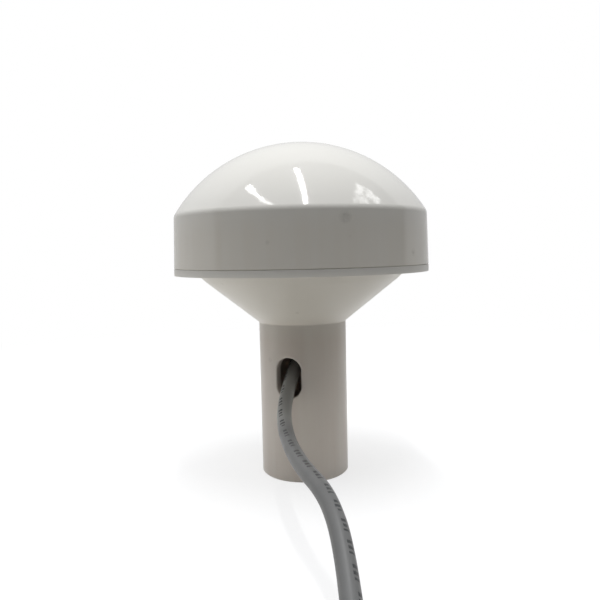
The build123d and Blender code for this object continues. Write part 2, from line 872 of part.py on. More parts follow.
coil_inside = coil_inner_turn - cable_radius
coil_outside = coil_outer_turn + cable_radius
coil_height = coil_layers * 2 * cable_radius
with BuildPart() as cable_coil:
    with BuildSketch(Plane.XY.offset(coil_tie_thickness)):
        with Locations(coil_middle):
            Circle(coil_outside)
            Circle(coil_inside, mode=Mode.SUBTRACT)
    extrude(amount=coil_height)
    fillet(cable_coil.edges().filter_by(GeomType.CIRCLE), coil_edge_radius)
cable_coil.part.label = "cable_coil"
export_step(cable_coil.part, "parts/cable_coil.step")

# Each tie is a flat band round the bundle; its legs stand clear of the coil's curved sides.
tie_inside = math.sqrt(coil_inside ** 2 - (coil_tie_width / 2) ** 2) - soft_clearance
tie_outside = coil_outside + soft_clearance
with BuildPart() as coil_ties:
    for angle in coil_tie_angles:
        turn = math.radians(angle)
        tie_plane = Plane(
            origin=(
                coil_middle[0] + math.sin(turn) * coil_tie_width / 2,
                coil_middle[1] - math.cos(turn) * coil_tie_width / 2,
                0,
            ),
            x_dir=(math.cos(turn), math.sin(turn), 0),
            z_dir=(math.sin(turn), -math.cos(turn), 0),
        )
        with BuildSketch(tie_plane):
            with Locations(((tie_inside + tie_outside) / 2, coil_tie_thickness + coil_height / 2)):
                RectangleRounded(
                    tie_outside - tie_inside + 2 * coil_tie_thickness,
                    coil_height + 2 * coil_tie_thickness,
                    coil_edge_radius,
                )
                RectangleRounded(
                    tie_outside - tie_inside,
                    coil_height,
                    coil_edge_radius / 2,
                    mode=Mode.SUBTRACT,
                )
        extrude(amount=-coil_tie_width)
coil_ties.part.label = "coil_ties"
export_step(coil_ties.part, "parts/coil_ties.step")

# ---- Round plug: grip, insert, pins, seal and turning nut ----------------------------------------

plug_origin = Vector(*tail_route[-1])
plug_direction = (plug_origin - Vector(*tail_route[-2])).normalized()
plug_axis = Axis(plug_origin, plug_direction)
plug_plane = Plane(origin=plug_origin, z_dir=plug_direction)
plug_side = Plane(origin=plug_origin, x_dir=plug_direction, z_dir=(-plug_direction.Y, plug_direction.X, 0))
plug_tail_radius = cable_radius + plug_tail_wall
collar_start = plug_grip_length + collar_place
collar_end = collar_start + collar_length
collar_radius = plug_core_radius + collar_lip
plug_floor = collar_start + socket_floor
nut_start = plug_grip_length + end_clearance
nut_end = nut_start + nut_length
nut_lip_end = collar_start - end_clearance
nut_bore_radius = collar_radius + 2 * running_clearance
nut_thread_radius = nut_bore_radius + nut_wall
nut_root_radius = nut_thread_radius - nut_thread_depth
nut_knurl_radius = nut_thread_radius + nut_knurl_height

with BuildPart() as plug_grip:
    with BuildSketch(plug_side):
        with BuildLine():
            Polyline(
                (0, 0),
                (0, plug_tail_radius),
                (plug_tail_length, plug_grip_radius),
                (plug_grip_length, plug_grip_radius),
                (plug_grip_length, 0),
                close=True,
            )
        make_face()
    revolve(axis=plug_axis)
    fillet(plug_grip.edges().filter_by(GeomType.CIRCLE).sort_by(SortBy.RADIUS)[-2:], plug_edge_radius)
    with BuildSketch(plug_plane.offset(plug_tail_length + flute_radius)):
        with PolarLocations(plug_grip_radius + flute_radius / 2, flute_count, start_angle=360 / flute_count):
            Circle(flute_radius)
    extrude(amount=plug_grip_length - plug_tail_length - 2 * flute_radius, mode=Mode.SUBTRACT)
plug_grip.part.label = "plug_grip"
export_step(plug_grip.part, "parts/plug_grip.step")

with BuildPart() as plug_insert:
    with BuildSketch(plug_plane.offset(plug_grip_length)):
        Circle(plug_core_radius)
    extrude(amount=plug_floor - plug_grip_length)
    with BuildSketch(plug_plane.offset(collar_start)):
        Circle(collar_radius)
    extrude(amount=collar_length)
    with BuildSketch(plug_plane.offset(collar_end + plug_seal_width + end_clearance)):
        with Locations((0, plug_core_radius)):
            Circle(key_radius)
    extrude(amount=plug_floor - collar_start, mode=Mode.SUBTRACT)
plug_insert.part.label = "plug_insert"
export_step(plug_insert.part, "parts/plug_insert.step")

with BuildPart() as plug_pins:
    with BuildSketch(plug_plane.offset(plug_floor)):
        Circle(pin_radius)
        with PolarLocations(plug_core_radius - pin_inset, pin_count, start_angle=90 + 180 / pin_count):
            Circle(pin_radius)
    extrude(amount=pin_length)
    pin_tips = plug_pins.edges().filter_by(GeomType.CIRCLE).group_by(Axis(plug_origin, plug_direction))[-1]
    fillet(pin_tips, pin_radius / 2)
plug_pins.part.label = "plug_pins"
export_step(plug_pins.part, "parts/plug_pins.step")

with BuildPart() as plug_seal:
    with BuildSketch(plug_plane.offset(collar_end)):
        Circle(collar_radius - running_clearance)
        Circle(plug_core_radius + seat_clearance, mode=Mode.SUBTRACT)
    extrude(amount=plug_seal_width)
    fillet(plug_seal.edges(), plug_seal_width / 6)
plug_seal.part.label = "plug_seal"
export_step(plug_seal.part, "parts/plug_seal.step")

knurl_end = nut_start + nut_knurl_length
thread_start = knurl_end + nut_thread_pitch
ridge_count = int((nut_end - thread_start) / nut_thread_pitch) - 1
ridge_flank = 2 / 5 * nut_thread_pitch
nut_outline = [
    (nut_start, plug_core_radius + running_clearance),
    (nut_start, nut_knurl_radius),
    (knurl_end, nut_knurl_radius),
    (knurl_end, nut_root_radius),
    (thread_start, nut_root_radius),
]
for ridge_index in range(ridge_count):
    ridge = thread_start + ridge_index * nut_thread_pitch
    nut_outline += [
        (ridge + ridge_flank, nut_thread_radius),
        (ridge + nut_thread_pitch - ridge_flank, nut_thread_radius),
        (ridge + nut_thread_pitch, nut_root_radius),
    ]
nut_outline += [
    (nut_end, nut_root_radius),
    (nut_end, nut_bore_radius),
    (nut_lip_end, nut_bore_radius),
    (nut_lip_end, plug_core_radius + running_clearance),
]
with BuildPart() as coupling_nut:
    with BuildSketch(plug_side):
        with BuildLine():
            Polyline(*nut_outline, close=True)
        make_face()
    revolve(axis=plug_axis)
    with BuildSketch(plug_plane.offset(nut_start)):
        with PolarLocations(nut_knurl_radius, knurl_count):
            Circle(knurl_radius)
    extrude(amount=nut_knurl_length, mode=Mode.SUBTRACT)
coupling_nut.part.label = "coupling_nut"
export_step(coupling_nut.part, "parts/coupling_nut.step")
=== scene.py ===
"""Looks of the mushroom-shaped positioning receiver: camera, floor, lights, cord and materials."""

import math

import bmesh
import bpy
from mathutils import Matrix, Vector


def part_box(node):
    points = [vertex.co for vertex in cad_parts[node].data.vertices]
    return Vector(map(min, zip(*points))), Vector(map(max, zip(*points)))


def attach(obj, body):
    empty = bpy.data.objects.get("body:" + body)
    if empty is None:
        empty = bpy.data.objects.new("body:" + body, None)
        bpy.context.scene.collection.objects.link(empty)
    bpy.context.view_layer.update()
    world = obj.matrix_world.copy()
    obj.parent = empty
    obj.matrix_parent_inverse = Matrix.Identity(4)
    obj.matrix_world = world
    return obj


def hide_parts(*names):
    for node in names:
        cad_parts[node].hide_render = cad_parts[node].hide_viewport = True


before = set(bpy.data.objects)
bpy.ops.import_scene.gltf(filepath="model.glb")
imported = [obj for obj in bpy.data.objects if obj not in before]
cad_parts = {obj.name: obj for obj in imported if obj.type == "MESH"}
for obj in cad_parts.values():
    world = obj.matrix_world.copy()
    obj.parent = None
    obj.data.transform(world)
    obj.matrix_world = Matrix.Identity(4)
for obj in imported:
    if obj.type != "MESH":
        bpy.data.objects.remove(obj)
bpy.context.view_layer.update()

MM = 0.001

# ---- Camera ----------------------------------------------------------------------------------

CAMERA_PLACE = Vector((0.0813, -0.2244, 0.0853))
CAMERA_TURN = math.radians(20.1)
CAMERA_PITCH = math.radians(4.556)
CAMERA_ROLL = math.radians(1.243)
CAMERA_LENS = 37.16
CAMERA_SENSOR = 36.0
CAMERA_NEAREST = 0.01

camera_data = bpy.data.cameras.new("camera")
camera_data.lens = CAMERA_LENS
camera_data.sensor_width = CAMERA_SENSOR
camera_data.clip_start = CAMERA_NEAREST
camera = bpy.data.objects.new("camera", camera_data)
bpy.context.scene.collection.objects.link(camera)
camera.matrix_world = (
    Matrix.Translation(CAMERA_PLACE)
    @ Matrix.Rotation(CAMERA_TURN, 4, "Z")
    @ Matrix.Rotation(math.pi / 2 - CAMERA_PITCH, 4, "X")
    @ Matrix.Rotation(-CAMERA_ROLL, 4, "Z")
)
bpy.context.scene.camera = camera

# ---- Material helpers ----------------------------------------------------------------------------


def colour(red, green, blue):
    """A colour given as it looks on a screen, from 0 to 255, as linear RGBA."""
    linear = []
    for channel in (red, green, blue):
        share = channel / 255
        linear.append(share / 12.92 if share <= 0.04045 else ((share + 0.055) / 1.055) ** 2.4)
    return (*linear, 1.0)


# Where a speck starts to fade and where it ends, in cells, and the half of noise's usual range
SPECK_RADII = (0.05, 0.16)
NOISE_HALF_RANGE = 0.25


class Look:
    """A procedural material: a Principled shader, with short calls for the nodes that feed it."""

    def __init__(self, name, base, roughness, metallic=0.0, **constants):
        self.material = bpy.data.materials.new(name)
        self.material.use_nodes = True
        self.nodes = self.material.node_tree.nodes
        self.shader = self.nodes["Principled BSDF"]
        self.base = base
        self.bumps = None
        self.set("Base Color", base)
        self.set("Roughness", roughness)
        self.set("Metallic", metallic)
        for label, value in constants.items():
            self.set(label.replace("_", " "), value)

    def set(self, label, value):
        """Sets a shader input to a constant, or links it to a node's output."""
        self.feed(self.shader.inputs[label], value)

    def feed(self, socket, value):
        """Sets any socket to a constant, or links it to a node's output."""
        if isinstance(value, bpy.types.NodeSocket):
            self.material.node_tree.links.new(value, socket)
        else:
            socket.default_value = value

    def node(self, kind, inputs, output=0, **settings):
        """A new node with its inputs fed; gives one of its outputs."""
        made = self.nodes.new("ShaderNode" + kind)
        for label, value in settings.items():
            setattr(made, label, value)
        for label, value in inputs.items():
            self.feed(made.inputs[label], value)
        return made.outputs[output]

    def place(self, stretch=(1, 1, 1)):
        """The object's own coordinates in metres, stretched along its axes."""
        return self.node("Mapping", {"Vector": self.node("TexCoord", {}, "Object"), "Scale": stretch})

    def noise(self, size, detail=2.0, stretch=(1, 1, 1), contrast=1.0):
        """Cloudy noise from 0 to 1 whose clouds are about size metres across."""
        place = self.place(stretch)
        clouds = self.node("TexNoise", {"Vector": place, "Scale": 1 / size, "Detail": detail})
        half_range = NOISE_HALF_RANGE / contrast
        return self.remap(clouds, 0.5 - half_range, 0.5 + half_range, 0, 1)

    def remap(self, value, low, high, new_low, new_high):
        """Takes a value from low to high onto the range from new_low to new_high, and holds it there."""
        return self.node("MapRange", {0: value, 1: low, 2: high, 3: new_low, 4: new_high})

    def between(self, value, low, high):
        """Takes a value from 0 to 1 onto the range from low to high."""
        return self.remap(value, 0, 1, low, high)

    def specks(self, size, share, spread=1.0):
        """Small round spots: 1 in the middle of a spot and 0 outside. Share is the part of cells with one."""
        cells = self.nodes.new("ShaderNodeTexVoronoi")
        self.feed(cells.inputs["Vector"], self.place())
        cells.inputs["Scale"].default_value = 1 / size
        cells.inputs["Randomness"].default_value = 1
        chance = self.node("SeparateColor", {0: cells.outputs["Color"]})
        chosen = self.math("LESS_THAN", chance, share)
        inner, outer = SPECK_RADII
        spot = self.remap(cells.outputs["Distance"], inner * spread, outer * spread, 1, 0)
        return self.math("MULTIPLY", chosen, spot)

    def bricks(self, scale, mortar):
        """1 on the joints of a fine brick pattern and 0 on its bricks."""
        inputs = {"Vector": self.place(), "Scale": scale, "Mortar Size": mortar}
        return self.node("TexBrick", inputs, "Fac")

    def axis(self, which, vector=None):
        """One coordinate, 0 for X to 2 for Z."""
        return self.node("SeparateXYZ", {0: vector or self.place()}, which)

    def off(self, which, middle):
        """The distance from a middle along one coordinate."""
        return self.math("ABSOLUTE", self.math("SUBTRACT", self.axis(which), middle))

    def away(self, middle):
        """The distance from a point, in metres."""
        return self.node("VectorMath", {0: self.place(), 1: middle}, "Value", operation="DISTANCE")

    def math(self, operation, *values):
        return self.node("Math", dict(enumerate(values)), operation=operation)

    def mix(self, factor, first, second):
        """A colour between two colours."""
        made = self.nodes.new("ShaderNodeMix")
        made.data_type = "RGBA"
        self.feed(made.inputs[0], factor)
        self.feed(made.inputs[6], first)
        self.feed(made.inputs[7], second)
        return made.outputs[2]

    def tint(self, factor, other, strength=1.0):
        """Turns the base colour towards another where the factor is 1, as far as the strength says."""
        if strength < 1.0:
            factor = self.math("MULTIPLY", factor, strength)
        self.base = self.mix(factor, self.base, other)
        self.set("Base Color", self.base)

    def relief(self, height, depth):
        """Adds surface relief, its depth in metres for a height from 0 to 1."""
        inputs = {"Height": height, "Distance": depth, "Strength": 1.0}
        if self.bumps:
            inputs["Normal"] = self.bumps
        self.bumps = self.node("Bump", inputs)
        self.set("Normal", self.bumps)


# ---- Materials -----------------------------------------------------------------------------------

# The shell's streaks fade in over a height, and light goes some way into it
STREAK_FADE = 0.01
GLOW_REACH = 0.004
SMUDGE = colour(110, 104, 96)
DUST = colour(120, 112, 100)


def moulded_plastic(name, base, darker, gloss, grain, streaks, smudges, glow=0.0):
    """Injection-moulded shell plastic: flow clouds, fine skin, dust specks and handling marks.

    Streaks give the height below which the walls are tinted darker and warmer, in faint lines up and down
    them, and the tint's colour and strength. A smudge has a middle, a radius and a strength. Glow is the
    light let through."""
    look = Look(
        name,
        base,
        gloss,
        IOR=1.49,
        Subsurface_Weight=glow,
        Subsurface_Scale=GLOW_REACH,
        Subsurface_Radius=(1, 1, 1),
    )
    look.tint(look.noise(size=0.03, detail=3), darker, strength=0.5)
    top, streak_colour, streak_strength = streaks
    below = look.remap(look.axis(2), top, top - STREAK_FADE, 0, 1)
    lines = look.between(look.noise(size=0.0045, detail=2, stretch=(1, 1, 0.06)), 0.5, 1)
    look.tint(look.math("MULTIPLY", lines, below), streak_colour, streak_strength)
    for middle, radius, strength in smudges:
        nearness = look.remap(look.away(middle), 0, radius, strength, 0)
        blot = look.noise(size=radius * 0.6, detail=3)
        look.tint(look.math("MULTIPLY", nearness, blot), SMUDGE)
    look.tint(look.specks(size=0.006, share=0.05), DUST, strength=0.12)
    smears = look.noise(size=0.018, detail=5, stretch=(1, 1, 0.3), contrast=1.5)
    look.set("Roughness", look.between(smears, gloss, gloss + grain))
    look.relief(look.noise(size=0.0035, detail=2), depth=0.000006)
    look.relief(look.noise(size=0.0006, detail=1), depth=0.0000012 + grain * 0.000006)
    return look


# Plain ink bars in short groups along the cable, counted in spans of its spline. The cable is
# slightly twisted, so the line of bars goes slowly round it.
MARK_SPANS = 397.0
MARK_BARS = 7.0
MARK_GROUPS = 1.75
MARK_GROUP_SHARE = 0.6
MARK_BAR_SHARE = 0.58
MARK_SIDE = 0.905
MARK_TWIST = -0.033
MARK_HALF_HEIGHTS = (0.036, 0.06)
INK = colour(44, 45, 46)
INK_WEAR = (0.7, 1.0)


def ink_bars(look):
    """1 on the ink bars of a cable and 0 elsewhere. Each bar has a height of its own."""
    along_and_around = look.node("TexCoord", {}, "UV")
    span = look.math("MULTIPLY", look.axis(0, along_and_around), MARK_SPANS)
    around = look.axis(1, along_and_around)
    bar = look.math("MULTIPLY", span, MARK_BARS)
    chance = look.node("TexWhiteNoise", {"W": look.math("FLOOR", bar)}, "Value", noise_dimensions="1D")
    group = look.math("FRACT", look.math("MULTIPLY", span, MARK_GROUPS))
    in_group = look.math("LESS_THAN", group, MARK_GROUP_SHARE)
    in_bar = look.math("LESS_THAN", look.math("FRACT", bar), MARK_BAR_SHARE)
    line = look.math("MULTIPLY_ADD", span, MARK_TWIST, MARK_SIDE)
    offset = look.math("PINGPONG", look.math("SUBTRACT", around, line), 0.5)
    in_line = look.math("LESS_THAN", offset, look.between(chance, *MARK_HALF_HEIGHTS))
    return look.math("MULTIPLY", look.math("MULTIPLY", in_group, in_bar), in_line)


# The cable is painted paler where it comes out of the slot, up to a distance from a point in the slot:
# painted light, which offsets the shade that the dome casts there
PAINTED_LIGHT_JACKET = colour(146, 146, 143)
PAINTED_LIGHT_MIDDLE = (0.0, -0.015, 0.036)
PAINTED_LIGHT_REACH = (0.031, 0.021)


def cable_jacket(name, printed):
    """Satin grey PVC, slightly cloudy; if printed, with a line of plain ink bars along it and painted light,
    a paler stretch where it leaves the slot.
    """
    look = Look(name, colour(105, 105, 104), 0.42, IOR=1.5)
    look.tint(look.noise(size=0.004, detail=4), colour(91, 92, 92), strength=0.3)
    if printed:
        # Painted light: the cable is paler near the slot, where the dome's shade falls on it
        nearness = look.remap(look.away(PAINTED_LIGHT_MIDDLE), *PAINTED_LIGHT_REACH, 0, 1)
        look.tint(nearness, PAINTED_LIGHT_JACKET)
        wear = look.between(look.noise(size=0.0008, detail=2), *INK_WEAR)
        look.tint(look.math("MULTIPLY", ink_bars(look), wear), INK)
    look.set("Roughness", look.between(look.noise(size=0.006, detail=3), 0.36, 0.5))
    look.relief(look.noise(size=0.0009, detail=3), depth=0.000012)
    return look


def rubber(name):
    """Matt black moulded rubber, greyer in small clouds."""
    look = Look(name, colour(44, 44, 45), 0.68)
    look.tint(look.noise(size=0.0015, detail=4), colour(60, 60, 60))
    look.relief(look.noise(size=0.0004, detail=2), depth=0.00001)
    return look


# The least and greatest roughness of the drawn lines, as shares of the metal's own
METAL_ROUGHNESS = (0.8, 1.3)


def metal(name, base, roughness, stained, brushed=(1, 1, 1)):
    """Bare or plated metal with fine drawn lines, a cloudy tarnish and uneven gloss."""
    look = Look(name, base, roughness, metallic=1.0)
    look.tint(look.noise(size=0.003, detail=4), stained, strength=0.5)
    lines = look.noise(size=0.0004, detail=2, stretch=brushed)
    smooth, rough = METAL_ROUGHNESS
    look.set("Roughness", look.between(lines, roughness * smooth, roughness * rough))
    look.relief(lines, depth=0.000004)
    return look


def circuit_board(name):
    """Solder mask, lighter and raised over copper that thin gaps part, with a few tinned dots."""
    look = Look(name, colour(26, 84, 52), 0.3, IOR=1.5)
    tracks = look.math("SUBTRACT", 1.0, look.bricks(scale=420.0, mortar=0.09))
    pours = look.math("GREATER_THAN", look.noise(size=0.012, detail=0), 0.62)
    copper = look.math("MAXIMUM", tracks, pours)
    look.tint(copper, colour(36, 104, 62))
    look.tint(look.specks(size=0.0022, share=0.3, spread=1.4), colour(190, 190, 184))
    look.relief(copper, depth=0.00003)
    return look


def ceramic(name):
    """Fired ceramic with a grainy skin and a few darker specks."""
    look = Look(name, colour(214, 203, 184), 0.5)
    look.tint(look.noise(size=0.0012, detail=5), colour(200, 186, 164))
    look.tint(look.specks(size=0.0016, share=0.25), colour(150, 132, 112), strength=0.6)
    look.relief(look.noise(size=0.0005, detail=3), depth=0.00001)
    return look


def printed_silver(name):
    """Fired silver, with the weave of the printing screen left in it."""
    look = Look(name, colour(214, 212, 206), 0.42, metallic=1.0)
    look.tint(look.noise(size=0.004, detail=3), colour(196, 190, 176))
    look.relief(look.bricks(scale=900.0, mortar=0.12), depth=0.000008)
    return look


def chip_epoxy(name, lead_span=None):
    """Black moulding compound; beyond the lead span from its middle in X it is tinned leads."""
    look = Look(name, colour(38, 38, 40), 0.55)
    look.tint(look.noise(size=0.0004, detail=3), colour(54, 54, 56))
    look.relief(look.noise(size=0.0002, detail=2), depth=0.000006)
    if lead_span:
        middle, reach = lead_span
        leads = look.math("GREATER_THAN", look.off(0, middle), reach)
        look.tint(leads, colour(196, 196, 190))
        look.set("Metallic", leads)
    return look


def nylon(name, base, darker):
    """Moulded nylon, slightly translucent and cloudy."""
    look = Look(name, base, 0.45, Subsurface_Weight=0.15)
    look.tint(look.noise(size=0.003, detail=3), darker)
    look.relief(look.noise(size=0.0008, detail=2), depth=0.000006)
    return look


def wire_colours(name, first_row, pitch, colours):
    """Insulation in a colour of its own for each row of wires along Y."""
    look = Look(name, colours[0], 0.35)
    row = look.math("DIVIDE", look.math("SUBTRACT", look.axis(1), first_row - pitch / 2), pitch)
    for index, other in enumerate(colours[1:], 1):
        look.tint(look.math("GREATER_THAN", row, float(index)), other)
    look.tint(look.noise(size=0.001, detail=2), colour(60, 60, 60), strength=0.15)
    return look


def woven_strap(name):
    """Black hook-and-loop strap: a tight weave with a fuzz of loops."""
    look = Look(name, colour(34, 34, 36), 0.85, Sheen_Weight=0.4)
    weave = look.node("TexChecker", {"Vector": look.place(), "Scale": 2200.0}, "Fac")
    look.tint(weave, colour(58, 58, 60), strength=0.5)
    look.tint(look.noise(size=0.0007, detail=4), colour(20, 20, 22), strength=0.5)
    look.relief(weave, depth=0.00006)
    look.relief(look.noise(size=0.0004, detail=3), depth=0.00008)
    return look


def plug_plastic(name):
    """Black moulded grip, spark-eroded skin with polished high spots."""
    look = Look(name, colour(40, 40, 42), 0.5)
    look.tint(look.noise(size=0.004, detail=3), colour(52, 52, 54))
    look.set("Roughness", look.between(look.noise(size=0.002, detail=3), 0.4, 0.6))
    look.relief(look.noise(size=0.0003, detail=2), depth=0.00002)
    return look


# The polarity stripe starts this far from a can's middle, as a share of its radius
STRIPE_START = 0.55


def canned_capacitor(name, middles, radius):
    """Aluminium cans with a dark stripe of polarity on one side."""
    look = metal(name, colour(206, 206, 204), 0.3, colour(176, 176, 172), brushed=(1, 1, 12))
    for middle_x, middle_y in middles:
        beside = look.math("LESS_THAN", look.axis(0), middle_x - radius * STRIPE_START)
        near = look.math("LESS_THAN", look.off(1, middle_y), radius)
        within = look.math("LESS_THAN", look.off(0, middle_x), radius)
        stripe = look.math("MULTIPLY", beside, look.math("MULTIPLY", near, within))
        look.tint(stripe, colour(30, 30, 34))
    return look


# ---- Cord: one spline from the grommet, through the coil, to the plug ---------------------------

CABLE_DIAMETER = 0.005
CABLE_STEPS = 6

# The route's points, in millimetres: from the grommet to the coil, and from the coil to the plug
cable_route = [
    (0.0, 2.5, 66.0),
    (0.0, 2.5, 57.5),
    (-0.1, -0.7, 48.8),
    (-0.6, -8.2, 40.9),
    (0.2, -18.2, 34.6),
    (2.8, -28.9, 29.1),
    (8.0, -40.3, 26.2),
    (15.5, -53.8, 24.9),
    (24.2, -67.2, 24.6),
    (32.8, -77.6, 24.0),
    (38.9, -86.4, 21.0),
    (43.2, -94.6, 16.7),
    (47.4, -104.4, 11.7),
    (51.6, -115.2, 7.4),
    (56.2, -127.6, 4.2),
    (61.4, -141.2, 2.8),
    (67.7, -158.0, 2.9),
]
tail_route = [
    (46.8, -146.0, 19.4),
    (56.2, -152.6, 22.8),
    (62.2, -161.6, 26.2),
    (64.4, -171.8, 28.2),
    (63.2, -181.8, 28.7),
    (60.0, -191.2, 28.7),
]

# The coil in millimetres: the middle of its turns, and the angle and radius at which they start
COIL_MIDDLE = (28.0, -192.0)
COIL_START = math.radians(20)
COIL_OUTER = 49.0
COIL_FLOOR = 3.5
COIL_LAYERS = 4
LAYER_TURNS = 5
CLIMB_TURNS = 5 / 18
POINTS_PER_TURN = 18
LAYER_STEP = LAYER_TURNS + CLIMB_TURNS
COIL_TURNS = COIL_LAYERS * LAYER_STEP - CLIMB_TURNS
DIAMETER_MM = CABLE_DIAMETER / MM


def coil_place(turn):
    """Radius and height of the wound line after so many turns. It goes in flat spirals, inwards and
    outwards by turns, with a short climb from layer to layer."""
    layer = min(int(turn / LAYER_STEP), COIL_LAYERS - 1)
    along = min(turn - layer * LAYER_STEP, LAYER_TURNS)
    climb = max(0.0, turn - layer * LAYER_STEP - LAYER_TURNS) / CLIMB_TURNS
    inward = along if layer % 2 == 0 else LAYER_TURNS - along
    radius = COIL_OUTER - DIAMETER_MM * inward
    height = COIL_FLOOR + DIAMETER_MM * (layer + climb * climb * (3 - 2 * climb))
    return radius, height


def coil_points():
    """Points of the wound turns."""
    count = round(COIL_TURNS * POINTS_PER_TURN)
    points = []
    for index in range(count + 1):
        turn = COIL_TURNS * index / count
        radius, height = coil_place(turn)
        angle = COIL_START - 2 * math.pi * turn
        points.append((
            COIL_MIDDLE[0] + radius * math.cos(angle),
            COIL_MIDDLE[1] + radius * math.sin(angle),
            height,
        ))
    return points


def spline_curve(name, points, radius, look):
    """A smooth round cord through the control points, given in millimetres."""
    curve = bpy.data.curves.new(name, "CURVE")
    curve.dimensions = "3D"
    curve.bevel_depth = radius
    curve.bevel_resolution = CABLE_STEPS
    curve.resolution_u = CABLE_STEPS
    curve.use_fill_caps = True
    curve.materials.append(look.material)
    spline = curve.splines.new("NURBS")
    spline.points.add(len(points) - 1)
    for point, place in zip(spline.points, points):
        point.co = (*(value * MM for value in place), 1)
    spline.order_u = 3
    spline.use_endpoint_u = True
    piece = bpy.data.objects.new(name, curve)
    bpy.context.scene.collection.objects.link(piece)
    return piece


whole_route = cable_route + coil_points() + tail_route
jacket = cable_jacket("jacket", printed=True)
data_cable = spline_curve("data_cable", whole_route, CABLE_DIAMETER / 2, jacket)
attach(data_cable, "receiver")
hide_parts("cable_tube", "cable_coil", "cable_tail")

# Straps round the coil, in degrees and millimetres: each a closed band, with its free end laid
# back over its outside. They go by the turns of the spline, which cuts inside its points.
STRAP_ANGLES = (140.0, 260.0)
STRAP_THICKNESS = 0.6
STRAP_HALF_WIDTH = 4.0
STRAP_EDGE = 0.15
STRAP_SLACK = 0.2
STRAP_QUARTER_STEPS = 8
STRAP_END_STEPS = 2
STRAP_END_REACH = 12.0
ROUNDING = 6
SPLINE_CUT = math.cos(math.pi / POINTS_PER_TURN)
STRAP_SECTION = [
    (-STRAP_HALF_WIDTH + STRAP_EDGE, 0.0),
    (STRAP_HALF_WIDTH - STRAP_EDGE, 0.0),
    (STRAP_HALF_WIDTH, STRAP_EDGE),
    (STRAP_HALF_WIDTH, STRAP_THICKNESS - STRAP_EDGE),
    (STRAP_HALF_WIDTH - STRAP_EDGE, STRAP_THICKNESS),
    (-STRAP_HALF_WIDTH + STRAP_EDGE, STRAP_THICKNESS),
    (-STRAP_HALF_WIDTH, STRAP_THICKNESS - STRAP_EDGE),
    (-STRAP_HALF_WIDTH, STRAP_EDGE),
]


def turns_under(angle):
    """Radius and height of each turn that the coil's spline has at an angle, in degrees."""
    first = (COIL_START - math.radians(angle)) / (2 * math.pi) % 1
    places = [coil_place(first + turn) for turn in range(int(COIL_TURNS - first) + 1)]
    return [(radius * SPLINE_CUT, height) for radius, height in places]


def strap_outline(angle):
    """Points of a line pulled tight round the turns, each with its radius, height and the way it faces."""
    turns = turns_under(angle)
    cable_radius = DIAMETER_MM / 2
    outline = []
    for step in range(4 * STRAP_QUARTER_STEPS):
        facing = math.pi / 2 * step / STRAP_QUARTER_STEPS
        out = math.cos(facing)
        up = math.sin(facing)
        reaches = [(round(radius * out + height * up, ROUNDING), radius, height) for radius, height in turns]
        _, radius, height = max(reaches)
        outline.append((radius + cable_radius * out, height + cable_radius * up, facing))
    return outline


def add_band(mesh, outline, angle, lift, closed):
    """Adds a band of the strap's section along an outline, lifted off it, at an angle round the coil."""
    turn = math.radians(angle)
    rings = []
    for radius, height, facing in outline:
        ring = []
        for across, thick in STRAP_SECTION:
            reach = radius + (lift + thick) * math.cos(facing)
            x = COIL_MIDDLE[0] + reach * math.cos(turn) - across * math.sin(turn)
            y = COIL_MIDDLE[1] + reach * math.sin(turn) + across * math.cos(turn)
            z = height + (lift + thick) * math.sin(facing)
            ring.append(mesh.verts.new((x * MM, y * MM, z * MM)))
        rings.append(ring)
    following = rings[1:] + rings[:1] if closed else rings[1:]
    for ring, other in zip(rings, following):
        for index in range(len(ring)):
            after = (index + 1) % len(ring)
            mesh.faces.new((ring[index], ring[after], other[after], other[index]))
    if not closed:
        mesh.faces.new(rings[0])
        mesh.faces.new(rings[-1])


def coil_straps(name, look):
    """Both straps as one piece."""
    mesh = bmesh.new()
    for angle in STRAP_ANGLES:
        outline = strap_outline(angle)
        over_corner = outline[-STRAP_END_STEPS:] + outline[:STRAP_QUARTER_STEPS + 1]
        radius, top, facing = over_corner[-1]
        add_band(mesh, outline, angle, STRAP_SLACK, closed=True)
        free_end = [*over_corner, (radius - STRAP_END_REACH, top, facing)]
        add_band(mesh, free_end, angle, STRAP_SLACK + STRAP_THICKNESS, closed=False)
    bmesh.ops.recalc_face_normals(mesh, faces=mesh.faces)
    straps_data = bpy.data.meshes.new(name)
    mesh.to_mesh(straps_data)
    mesh.free()
    straps_data.materials.append(look.material)
    straps = bpy.data.objects.new(name, straps_data)
    bpy.context.scene.collection.objects.link(straps)
    return straps


straps = coil_straps("coil_straps", woven_strap("woven_strap"))
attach(straps, "receiver")
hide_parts("coil_ties")

# ---- Looks of the CAD nodes and of the cable -------------------------------------------------------

SHELL = colour(231, 229, 223)
SHELL_DARK = colour(223, 220, 212)
BAND_STREAKS = (0.101, colour(214, 203, 184), 0.32)
STEM_STREAKS = (0.062, colour(200, 180, 171), 0.4)
BAND_SMUDGES = [
    ((0.0289, -0.0383, 0.0955), 0.0025, 0.5),
    ((0.0455, -0.0145, 0.084), 0.0016, 0.4),
]
STEM_SMUDGES = [((-0.0075, -0.0145, 0.0452), 0.0012, 0.5)]

